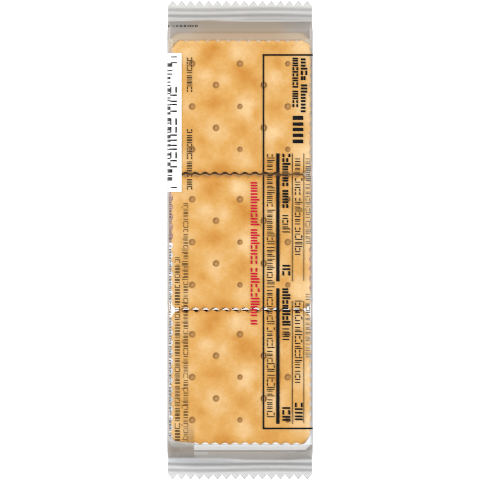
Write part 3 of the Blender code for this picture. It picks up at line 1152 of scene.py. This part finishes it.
def print_row(ink, row, seed):
    """A row of plain marks in words. A row that reads down has its marks' tops to the right."""
    random = np.random.RandomState(seed)
    side = -row.reading
    foot = float(arc_at(row.foot))
    length = abs(row.y_to - row.y_from)
    at = 0.0
    left_in_word = random.randint(*FIRST_WORD)
    while at + row.advance * ROW_END_GAP < length:
        if left_in_word == 0:
            at += row.advance * WORD_GAP
            left_in_word = random.randint(*LATER_WORDS)
            continue
        left_in_word -= 1
        kind = random.choice(MARK_KINDS, p=MARK_SHARES)
        width = row.advance * MARK_WIDTHS[kind] * random.uniform(*WIDTH_RANGE)
        height = row.height
        if kind != "tall" and random.uniform() < row.capitals:
            height *= TALL_SHARE
        if kind == "tall" and not row.capitals:
            height /= TALL_SHARE
        for from_u, to_u, from_v, to_v in mark_bars(kind, width, height, row.stroke):
            corners = [(from_u, from_v), (to_u, from_v), (to_u, to_v), (from_u, to_v)]
            places = [(foot + side * v, row.y_from + row.reading * (at + u)) for u, v in corners]
            curved = max(abs(place[0]) for place in places) > HALF_WIDTH - BODY_CORNER
            ink.patch(places, 1, max(1, math.ceil((to_v - from_v) / MARK_STEP)) if curved else 1)
        at += width + row.advance * MARK_GAP


BLACK_ROWS = (
    Row(7.80, -1, 24.9, -52.2, 1.60, 1.15, 0.23, 0.22),
    Row(12.28, -1, 25.0, 8.1, 1.66, 1.50, 0.56, 0.22),
    Row(12.28, -1, 7.2, 1.6, 1.60, 1.25, 0.30, 0.22),
    Row(12.28, -1, -7.2, -11.9, 2.20, 1.75, 0.50, 0.0),
    Row(12.28, -1, -14.0, -25.0, 1.66, 1.50, 0.56, 0.22),
    Row(12.28, -1, -25.6, -29.2, 1.90, 1.30, 0.30, 0.0),
    Row(12.28, -1, -48.4, -53.3, 2.20, 1.75, 0.50, 0.0),
    Row(15.92, -1, 23.6, -5.4, 1.50, 1.18, 0.24, 0.22),
    Row(15.92, -1, -17.5, -42.4, 1.50, 1.18, 0.24, 0.22),
    Row(15.92, -1, -47.1, -53.3, 2.20, 1.75, 0.48, 0.0),
    Row(17.62, -1, 52.6, 37.2, 1.35, 1.70, 0.58, 0.30),
    Row(15.20, -1, 52.8, 37.4, 1.60, 1.28, 0.48, 0.0),
    Row(20.72, -1, 52.4, 35.6, 1.40, 1.40, 0.30, 0.0),
)
SMALL_ROWS = (
    Row(-13.92, 1, 42.9, 53.0, 1.46, 0.88, 0.24, 0.0),
    Row(-13.92, 1, 14.6, 32.7, 1.46, 0.88, 0.24, 0.0),
    Row(-17.44, 1, -58.7, -4.7, 1.45, 0.80, 0.17, 0.0),
    Row(-15.08, 1, -58.7, 10.6, 1.30, 0.80, 0.14, 0.15),
    Row(-20.02, 1, -59.0, -1.0, 0.88, 0.78, 0.22, 0.0),
    Row(-19.90, 1, -0.5, 12.8, 0.90, 0.78, 0.17, 0.0),
)

# Thick bars across the panel's widest row: x low and high, and each bar's y low and high
WIDE_ROW_X = (15.28, 18.28)
WIDE_ROW_Y = ((34.80, 35.95), (33.10, 34.05), (31.55, 32.50), (29.85, 30.80), (28.05, 29.10))

# Small marks across the far slope, on the film: their y low and high, and each one's x low and high
SLOPE_MARKS_Y = (61.78, 62.42)
SLOPE_MARKS_X = (
    (-20.75, -20.30), (-20.05, -19.75), (-19.6, -19.35), (-19.2, -19.0), (-18.5, -18.3), (-18.15, -17.95),
    (-17.8, -17.6), (-17.35, -16.85), (-16.65, -16.45), (-16.2, -15.7), (-15.45, -15.25), (-15.05, -14.85),
    (-14.6, -14.1), (-13.9, -13.7), (-13.5, -13.3), (-13.1, -12.6), (-12.4, -12.2),
)
FAINT_ROWS = (
    Row(19.0, -1, 23.6, 20.9, 1.30, 1.20, 0.20, 0.15),
    Row(19.0, -1, 16.2, -1.8, 1.30, 1.20, 0.20, 0.15),
    Row(19.0, -1, -15.6, -18.4, 1.30, 1.25, 0.20, 0.15),
    Row(19.0, -1, -21.6, -34.8, 1.30, 1.25, 0.20, 0.15),
)
NOTCH_ROWS = (
    Row(19.0, -1, 21.4, 16.4, 1.30, 1.05, 0.30, 0.15),
    Row(19.0, -1, -18.4, -21.4, 1.40, 0.95, 0.32, 0.15),
)
RED_ROWS = (Row(3.08, -1, 16.8, -24.7, 1.85, 1.50, 0.46, 0.20),)

# Which ink each group of rows takes, and the seed of its first row
ROWS = (
    ("black", BLACK_ROWS, 100),
    ("small", SMALL_ROWS, 200),
    ("faint", FAINT_ROWS, 300),
    ("red", RED_ROWS, 400),
    ("outer_grey", NOTCH_ROWS, 500),
)

# Rules: x low, x high, y low, y high
FRAME_LEFT_RULE = (6.56, 6.96, -54.80, 53.82)
FRAME_RULES_Y = (53.36, -54.80)
FRAME_RULE_WIDTH = 0.46
RULE_END_X = 19.8
FRAME_END_X = 21.0
PANEL_RULES = (
    (10.50, 11.43, -11.98, 25.09),
    (10.50, 11.43, -53.24, -13.98),
    (15.02, 15.22, -11.98, 25.09),
    (15.02, 15.22, -53.24, -17.63),
    (18.39, 18.55, -11.89, 25.09),
    (18.39, 18.55, -53.07, -17.69),
)

# The bar field at the left edge: its box, the stretch that its bars fill, their widths and gaps, and the x
# where the long ones, near the stretch's ends, and the short ones end
BAR_FIELD = (-20.88, -16.91, 13.95, 54.15)
BAR_STRETCH = (17.2, 50.2)
BAR_WIDTHS = (0.33, 0.33, 0.66, 0.99)
BAR_GAPS = (0.33, 0.66, 0.66, 0.99)
LONG_BARS_REACH = 3.2
LONG_BAR_X = -19.60
SHORT_BAR_X = -20.15
BAR_SEED = 7
BAR_ROWS_SEED = 30
BAR_ROWS = (
    Row(-18.30, 1, 14.9, 16.8, 1.85, 2.2, 0.30, 0.0),
    Row(-18.30, 1, 21.0, 46.8, 2.00, 2.5, 0.42, 0.0),
    Row(-18.30, 1, 51.2, 53.3, 1.85, 2.2, 0.30, 0.0),
)

# How far down the walls the white field, its bars and the frame's rules run
FIELD_WRAP = 9.0
BAR_WRAP = 7.5
RULE_WRAP = 6.0

# The fields of the print on the underside: x low, x high, y low, y high. The dark ones lie where the gaps
# between the stacks show them, as the gaps' shade: the first is also dark print on the underside, the second
# only a dark strip under the second gap that stands for its shade
UNDER_DARK_AND_GAP_SHADE_FIELDS = (
    (-19.0, 19.0, -1.0, 45.0),
    (-16.9, 18.4, -23.5, -20.33),
)
UNDER_WHITE_FIELD = (-13.3, 20.9, -61.0, -23.5)


def bar_field(white, black):
    """A white field with plain upright bars that runs over the left edge and down the wall."""
    white.field(*BAR_FIELD, wrap=FIELD_WRAP)
    random = np.random.RandomState(BAR_SEED)
    start, stop = BAR_STRETCH
    y = start
    while y < stop:
        width = random.choice(BAR_WIDTHS)
        right = LONG_BAR_X if min(y - start, stop - y) < LONG_BARS_REACH else SHORT_BAR_X
        black.field(BAR_FIELD[0], right, y, y + width, wrap=BAR_WRAP)
        y += width + random.choice(BAR_GAPS)
    add_rows(black, BAR_ROWS, BAR_ROWS_SEED)


def panel(black):
    """The framed panel at the right: its frame, rules and rows."""
    black.field(*FRAME_LEFT_RULE)
    for y in FRAME_RULES_Y:
        black.field(FRAME_LEFT_RULE[0], FRAME_END_X, y, y + FRAME_RULE_WIDTH, RULE_WRAP)
    for rule in PANEL_RULES:
        black.field(*rule)
    for y_low, y_high in WIDE_ROW_Y:
        black.field(*WIDE_ROW_X, y_low, y_high)


def outer_marks(ink):
    """What shows over the film's haze: the right ends of the frame's rules and the slope's small marks."""
    for y in FRAME_RULES_Y:
        ink.field(RULE_END_X, FRAME_END_X, y, y + FRAME_RULE_WIDTH, RULE_WRAP)
    for x_low, x_high in SLOPE_MARKS_X:
        ink.field(x_low, x_high, *SLOPE_MARKS_Y)


def add_rows(ink, rows, seed):
    """All rows of one ink."""
    for number, row in enumerate(rows):
        print_row(ink, row, seed + number)


def make_print():
    """All print on the pack."""
    inks = {key: Ink(depth, under) for key, (*_, depth, under) in INKS.items()}
    bar_field(inks["white"], inks["black"])
    panel(inks["black"])
    outer_marks(inks["outer"])
    for key, rows, seed in ROWS:
        add_rows(inks[key], rows, seed)
    for box in UNDER_DARK_AND_GAP_SHADE_FIELDS:
        inks["under_dark_and_gap_shade"].field(*box)
    inks["under_white"].field(*UNDER_WHITE_FIELD)
    for key, (piece, look, colour, _, _) in INKS.items():
        inks[key].finish(piece, ink_material(look, colour))


# Materials


def new_material(name):
    """An empty node material, its tree and its output node."""
    material = bpy.data.materials.new(name)
    material.use_nodes = True
    tree = material.node_tree
    tree.nodes.clear()
    output = tree.nodes.new("ShaderNodeOutputMaterial")
    return material, tree, output


def add(tree, kind, **settings):
    """A node with its settings. A key that names an input sets that input's value."""
    node = tree.nodes.new(kind)
    for key, value in settings.items():
        if key in node.inputs:
            node.inputs[key].default_value = value
        else:
            setattr(node, key, value)
    return node


def scaled(tree, source, factor, offset):
    """A node that gives source times factor plus offset."""
    node = add(tree, "ShaderNodeMath", operation="MULTIPLY_ADD")
    node.inputs[1].default_value = factor
    node.inputs[2].default_value = offset
    tree.links.new(source, node.inputs[0])
    return node.outputs[0]


def total_of(tree, sources):
    """A chain of nodes that adds its sources."""
    total = sources[0]
    for source in sources[1:]:
        node = add(tree, "ShaderNodeMath", operation="ADD")
        tree.links.new(total, node.inputs[0])
        tree.links.new(source, node.inputs[1])
        total = node.outputs[0]
    return total


def colour_ramp(tree, source, stops):
    """A ramp of (position, colour) stops."""
    ramp = add(tree, "ShaderNodeValToRGB")
    elements = ramp.color_ramp.elements
    while len(elements) < len(stops):
        elements.new(0.5)
    for element, (position, colour) in zip(elements, stops):
        element.position = position
        element.color = colour
    tree.links.new(source, ramp.inputs["Fac"])
    return ramp.outputs["Color"]


def mixed(tree, share, below, above):
    """The colour below mixed by share towards the one above, a socket or a plain colour."""
    mix = add(tree, "ShaderNodeMix", data_type="RGBA")
    tree.links.new(share, mix.inputs["Factor"])
    tree.links.new(below, mix.inputs[6])
    if isinstance(above, bpy.types.NodeSocket):
        tree.links.new(above, mix.inputs[7])
    else:
        mix.inputs[7].default_value = above
    return mix.outputs[2]


def add_shader(tree, output, roughness, gloss):
    """An opaque surface, linked to the output."""
    shader = add(tree, "ShaderNodeBsdfPrincipled", Roughness=roughness)
    shader.inputs["Specular IOR Level"].default_value = gloss
    tree.links.new(shader.outputs["BSDF"], output.inputs["Surface"])
    return shader


def add_noise(tree, **settings):
    """Noise over the object, with its scale in cells a metre."""
    noise = add(tree, "ShaderNodeTexNoise", **settings)
    place = add(tree, "ShaderNodeTexCoord")
    tree.links.new(place.outputs["Object"], noise.inputs["Vector"])
    return noise.outputs["Fac"]


def add_bump(tree, shader, height, strength, distance):
    """Fine relief on a surface."""
    bump = add(tree, "ShaderNodeBump", Strength=strength, Distance=distance * MM)
    tree.links.new(height, bump.inputs["Height"])
    tree.links.new(bump.outputs["Normal"], shader.inputs["Normal"])


# The dough's colours from pale to toasted, how strongly its grain and mottle vary them, and the share and the
# colour of its holes' floors and walls, darker partly from toasting and partly as painted shade in the holes
DOUGH = ((0.0, linear(241, 207, 155)), (0.5, linear(222, 169, 93)), (1.0, linear(202, 132, 42)))
GRAIN_RANGE = 0.34
PIT_TOAST_AND_SHADE = (0.85, linear(181, 140, 84))
HOLE_WALL_TOAST_AND_SHADE = (0.75, linear(160, 113, 60))
FILLING_COLOURS = ((0.0, linear(176, 118, 62)), (1.0, linear(206, 150, 88)))


def cracker_material():
    """Baked dough: toasted in blotches, with a fine grain, docker holes darkened partly by toast and partly
    by painted shade, painted light and shade along its rims, and its ledges' painted colours.
    """
    material, tree, output = new_material("cracker")
    shader = add_shader(tree, output, roughness=0.72, gloss=0.2)
    names = ("toast_and_rim_shading", "wall", "pit", "ledge")
    attributes = [add(tree, "ShaderNodeAttribute", attribute_name=name) for name in names]
    toast_and_rim_shading, wall, pit, ledge = (attribute.outputs for attribute in attributes)
    grain = add_noise(tree, Scale=1500.0, Detail=4.0, Roughness=0.65)
    mottle = add_noise(tree, Scale=420.0, Detail=3.0, Roughness=0.6)
    varied = [scaled(tree, noise, GRAIN_RANGE, -GRAIN_RANGE / 2) for noise in (grain, mottle)]
    colour = colour_ramp(tree, total_of(tree, [toast_and_rim_shading["Fac"], *varied]), DOUGH)
    # The holes' floors and walls: partly toast, partly painted shade
    for depth, (share, darker) in ((pit, PIT_TOAST_AND_SHADE), (wall, HOLE_WALL_TOAST_AND_SHADE)):
        colour = mixed(tree, scaled(tree, depth["Fac"], share, 0.0), colour, darker)
    # The ledges' painted colours: painted shade and light, and the print beyond
    colour = mixed(tree, ledge["Alpha"], colour, ledge["Color"])
    tree.links.new(colour, shader.inputs["Base Color"])
    add_bump(tree, shader, grain, strength=0.25, distance=0.08)
    return material


def filling_material():
    """Smooth nut-brown filling."""
    material, tree, output = new_material("filling")
    shader = add_shader(tree, output, roughness=0.5, gloss=0.5)
    noise = add_noise(tree, Scale=700.0, Detail=3.0)
    tree.links.new(colour_ramp(tree, noise, FILLING_COLOURS), shader.inputs["Base Color"])
    add_bump(tree, shader, noise, strength=0.4, distance=0.2)
    return material


# The share of light that the film mirrors where it is seen straight on, how fast that grows to all of it at a
# glance, and the colour of what comes through it
FILM_MIRROR = 0.020
GLANCE_POWER = 5.0
FILM_CLEAR = (0.985, 0.985, 0.985, 1.0)


def film_material():
    """Clear glossy film, frosted and painted with shade and highlights where its veil says so."""
    material, tree, output = new_material("film")
    link = tree.links.new
    veil = add(tree, "ShaderNodeAttribute", attribute_name="veil")
    clear = add(tree, "ShaderNodeBsdfTransparent", Color=FILM_CLEAR)
    frost = add(tree, "ShaderNodeBsdfDiffuse")
    link(veil.outputs["Color"], frost.inputs["Color"])
    frosted = add(tree, "ShaderNodeMixShader")
    link(veil.outputs["Alpha"], frosted.inputs[0])
    link(clear.outputs["BSDF"], frosted.inputs[1])
    link(frost.outputs["BSDF"], frosted.inputs[2])
    gloss = add(tree, "ShaderNodeBsdfGlossy", Roughness=0.22)
    facing = add(tree, "ShaderNodeLayerWeight", Blend=0.5)
    glance = add(tree, "ShaderNodeMath", operation="POWER")
    glance.inputs[1].default_value = GLANCE_POWER
    link(facing.outputs["Facing"], glance.inputs[0])
    mirror = add(tree, "ShaderNodeMixShader")
    link(scaled(tree, glance.outputs[0], 1 - FILM_MIRROR, FILM_MIRROR), mirror.inputs[0])
    link(frosted.outputs["Shader"], mirror.inputs[1])
    link(gloss.outputs["BSDF"], mirror.inputs[2])
    link(mirror.outputs["Shader"], output.inputs["Surface"])
    return material


# How far an ink's colour varies to either side
INK_RANGE = 6


def ink_material(name, colour):
    """Flat ink with a faint unevenness."""
    material, tree, output = new_material(name)
    shader = add_shader(tree, output, roughness=0.6, gloss=0.05)
    noise = add_noise(tree, Scale=900.0, Detail=2.0)
    lighter = [min(value + INK_RANGE, 255) for value in colour]
    darker = [max(value - INK_RANGE, 0) for value in colour]
    stops = ((0.3, linear(*darker)), (0.7, linear(*lighter)))
    tree.links.new(colour_ramp(tree, noise, stops), shader.inputs["Base Color"])
    return material


# The studio

FLOOR_HALF_SIZE = 3000.0
FLOOR_DROP = 0.2
FLOOR_COLOUR = (0.5, 0.5, 0.5, 1.0)
FLOOR_GLOW = 0.8
WHITE = (1.0, 1.0, 1.0, 1.0)
SKY = ((0.0, (0.85, 0.85, 0.85, 1.0)), (0.95, (0.2, 0.2, 0.2, 1.0)))

# The lights: where each one is, its size and its power
SOFTBOXES = {
    "key_light": ((-600, 250, 700), 500, 7.2),
    "fill_light": ((650, -200, 650), 500, 3.9),
}


def make_floor():
    """A plain white floor."""
    material, tree, output = new_material("floor")
    shader = add_shader(tree, output, roughness=0.9, gloss=0.0)
    shader.inputs["Base Color"].default_value = FLOOR_COLOUR
    shader.inputs["Emission Color"].default_value = WHITE
    shader.inputs["Emission Strength"].default_value = FLOOR_GLOW
    corners = ((-1, -1, 0), (1, -1, 0), (1, 1, 0), (-1, 1, 0))
    floor = make_object("floor", np.array(corners) * FLOOR_HALF_SIZE, [(0, 1, 2, 3)], material)
    at_place(floor, 0, 0, -FLOOR_DROP)


def make_world():
    """A soft pale tent, dimmer overhead than at the horizon."""
    world = bpy.data.worlds.new("studio")
    world.use_nodes = True
    bpy.context.scene.world = world
    tree = world.node_tree
    background = tree.nodes["Background"]
    place = add(tree, "ShaderNodeTexCoord")
    split = add(tree, "ShaderNodeSeparateXYZ")
    tree.links.new(place.outputs["Generated"], split.inputs[0])
    tree.links.new(colour_ramp(tree, split.outputs["Z"], SKY), background.inputs["Color"])
    background.inputs["Strength"].default_value = 1.0


def add_softbox(name, place, size, power):
    """A square area light that looks at the pack."""
    light = bpy.data.lights.new(name, "AREA")
    light.shape = "SQUARE"
    light.size = size * MM
    light.energy = power
    lamp = bpy.data.objects.new(name, light)
    at_place(lamp, *place)
    lamp.rotation_mode = "QUATERNION"
    lamp.rotation_quaternion = (-lamp.location).to_track_quat("-Z", "Y")
    lamp.visible_camera = False
    bpy.context.scene.collection.objects.link(lamp)


# The camera looks straight down, and the photograph's width spans this much of the pack
PHOTO_SPAN = 139.2
LENS = 1000.0
SENSOR = 36.0
FOCUS_Z = 14.0


def add_camera():
    """A long lens straight above the pack, as in the photograph."""
    data = bpy.data.cameras.new("camera")
    data.lens = LENS
    data.sensor_width = SENSOR
    data.clip_end = 20.0
    camera = bpy.data.objects.new("camera", data)
    at_place(camera, 0, 0, FOCUS_Z + PHOTO_SPAN * LENS / SENSOR)
    bpy.context.scene.collection.objects.link(camera)
    bpy.context.scene.camera = camera


add_camera()
make_world()
make_floor()
for light_name, (light_place, light_size, light_power) in SOFTBOXES.items():
    add_softbox(light_name, light_place, light_size, light_power)
place_contents(cracker_material(), filling_material())
film = make_film(film_material())
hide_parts("cracker_pack")
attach(film, "root")
make_print()

bpy.context.scene.view_settings.view_transform = "Standard"
bpy.context.scene.cycles.transparent_max_bounces = 24
bpy.context.scene.cycles.filter_width = 1.0
